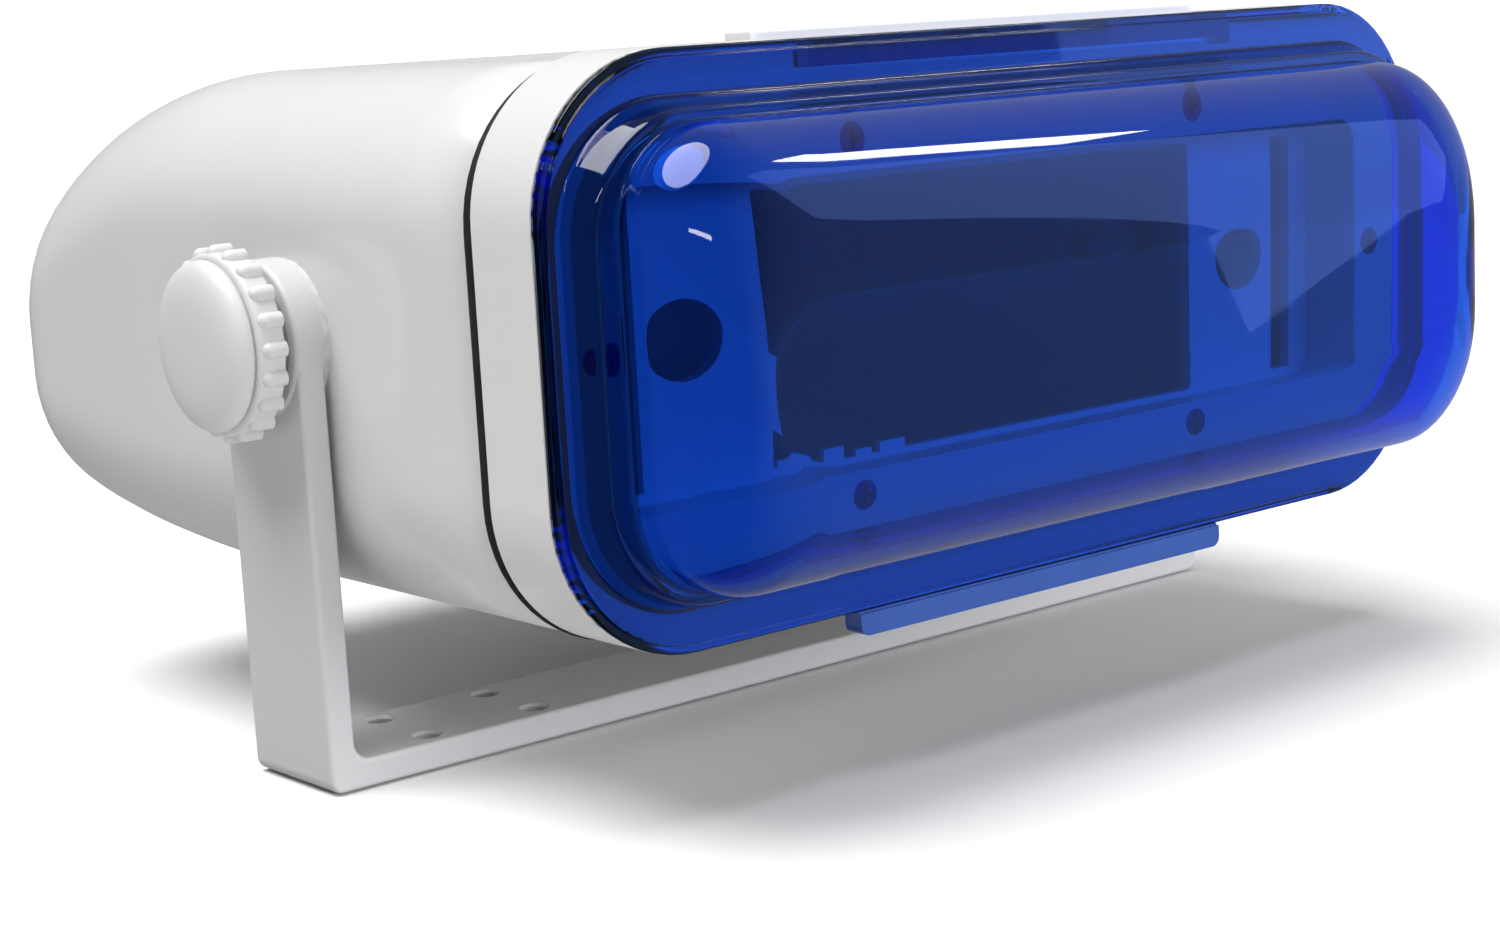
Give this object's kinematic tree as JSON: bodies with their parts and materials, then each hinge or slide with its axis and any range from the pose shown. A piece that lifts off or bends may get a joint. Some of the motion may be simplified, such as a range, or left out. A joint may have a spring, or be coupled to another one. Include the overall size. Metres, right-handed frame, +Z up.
{
  "type": "splash-proof radio housing",
  "caption": "Splash-proof housing for a two-shaft radio: rounded white shell with a flip-up translucent blue cover, tilting in a U bracket between two clamp knobs.",
  "frame": {"origin": "centre of the bracket base's underside, midway between its four outer corners", "axes": "+X along the bracket from the left knob to the right knob, seen from the front; -Y the way the cover faces; +Z up, away from the surface that the bracket is screwed to"},
  "size_m": [0.268, 0.2369, 0.1343],
  "materials": {
    "bracket_white": "satin moulded ABS",
    "shell_white": "glossy moulded ABS",
    "bezel_white": "glossy moulded ABS",
    "face_white": "semi-gloss moulded ABS",
    "knob_white": "fine matt moulded plastic",
    "blue_cover": "clear deep-blue moulded acrylic, glossy",
    "black_rubber": "matt rubber seal",
    "grey_rubber": "pale grey rubber washer",
    "screw_steel": "plain stainless steel",
    "strap_steel": "zinc-plated strap steel",
    "insert_brass": "turned brass"
  },
  "bodies": {
    "bracket": {"gimbal_bracket": "bracket_white"},
    "housing": {"rear_shell": "shell_white", "shell_gasket": "black_rubber", "front_bezel": "bezel_white", "cover_seal": "black_rubber", "face_plate": "face_white", "face_plate_screws": "screw_steel", "hinge_cap": "bezel_white", "hinge_pin": "screw_steel", "radio_support_strap": "strap_steel", "strap_screw": "screw_steel", "cable_grommet": "black_rubber", "pivot_insert_right": "insert_brass", "pivot_insert_left": "insert_brass", "pivot_washer_right": "grey_rubber", "pivot_washer_left": "grey_rubber"},
    "cover": {"cover_lens": "blue_cover", "cover_hinge_leaf": "blue_cover", "cover_latch_tab": "blue_cover"},
    "left_knob": {"knob_grip_left": "knob_white", "knob_cap_left": "knob_white", "knob_stud_left": "screw_steel", "knob_washer_left": "screw_steel"},
    "right_knob": {"knob_grip_right": "knob_white", "knob_cap_right": "knob_white", "knob_stud_right": "screw_steel", "knob_washer_right": "screw_steel"}
  },
  "joints": [
    {"name": "housing_tilt", "type": "hinge", "parent": "bracket", "child": "housing", "pos_m": [0, 0, 0.0835], "axis": [1, 0, 0], "range_deg": [-25, 25]},
    {"name": "cover_flip", "type": "hinge", "parent": "housing", "child": "cover", "pos_m": [0, -0.0753, 0.1297], "axis": [-1, 0, 0], "range_deg": [0, 105]},
    {"name": "left_knob_turn", "type": "hinge", "parent": "housing", "child": "left_knob", "pos_m": [-0.12, 0, 0.0835], "axis": [-1, 0, 0], "range_deg": [0, 720]},
    {"name": "right_knob_turn", "type": "hinge", "parent": "housing", "child": "right_knob", "pos_m": [0.12, 0, 0.0835], "axis": [1, 0, 0], "range_deg": [0, 720]}
  ]
}
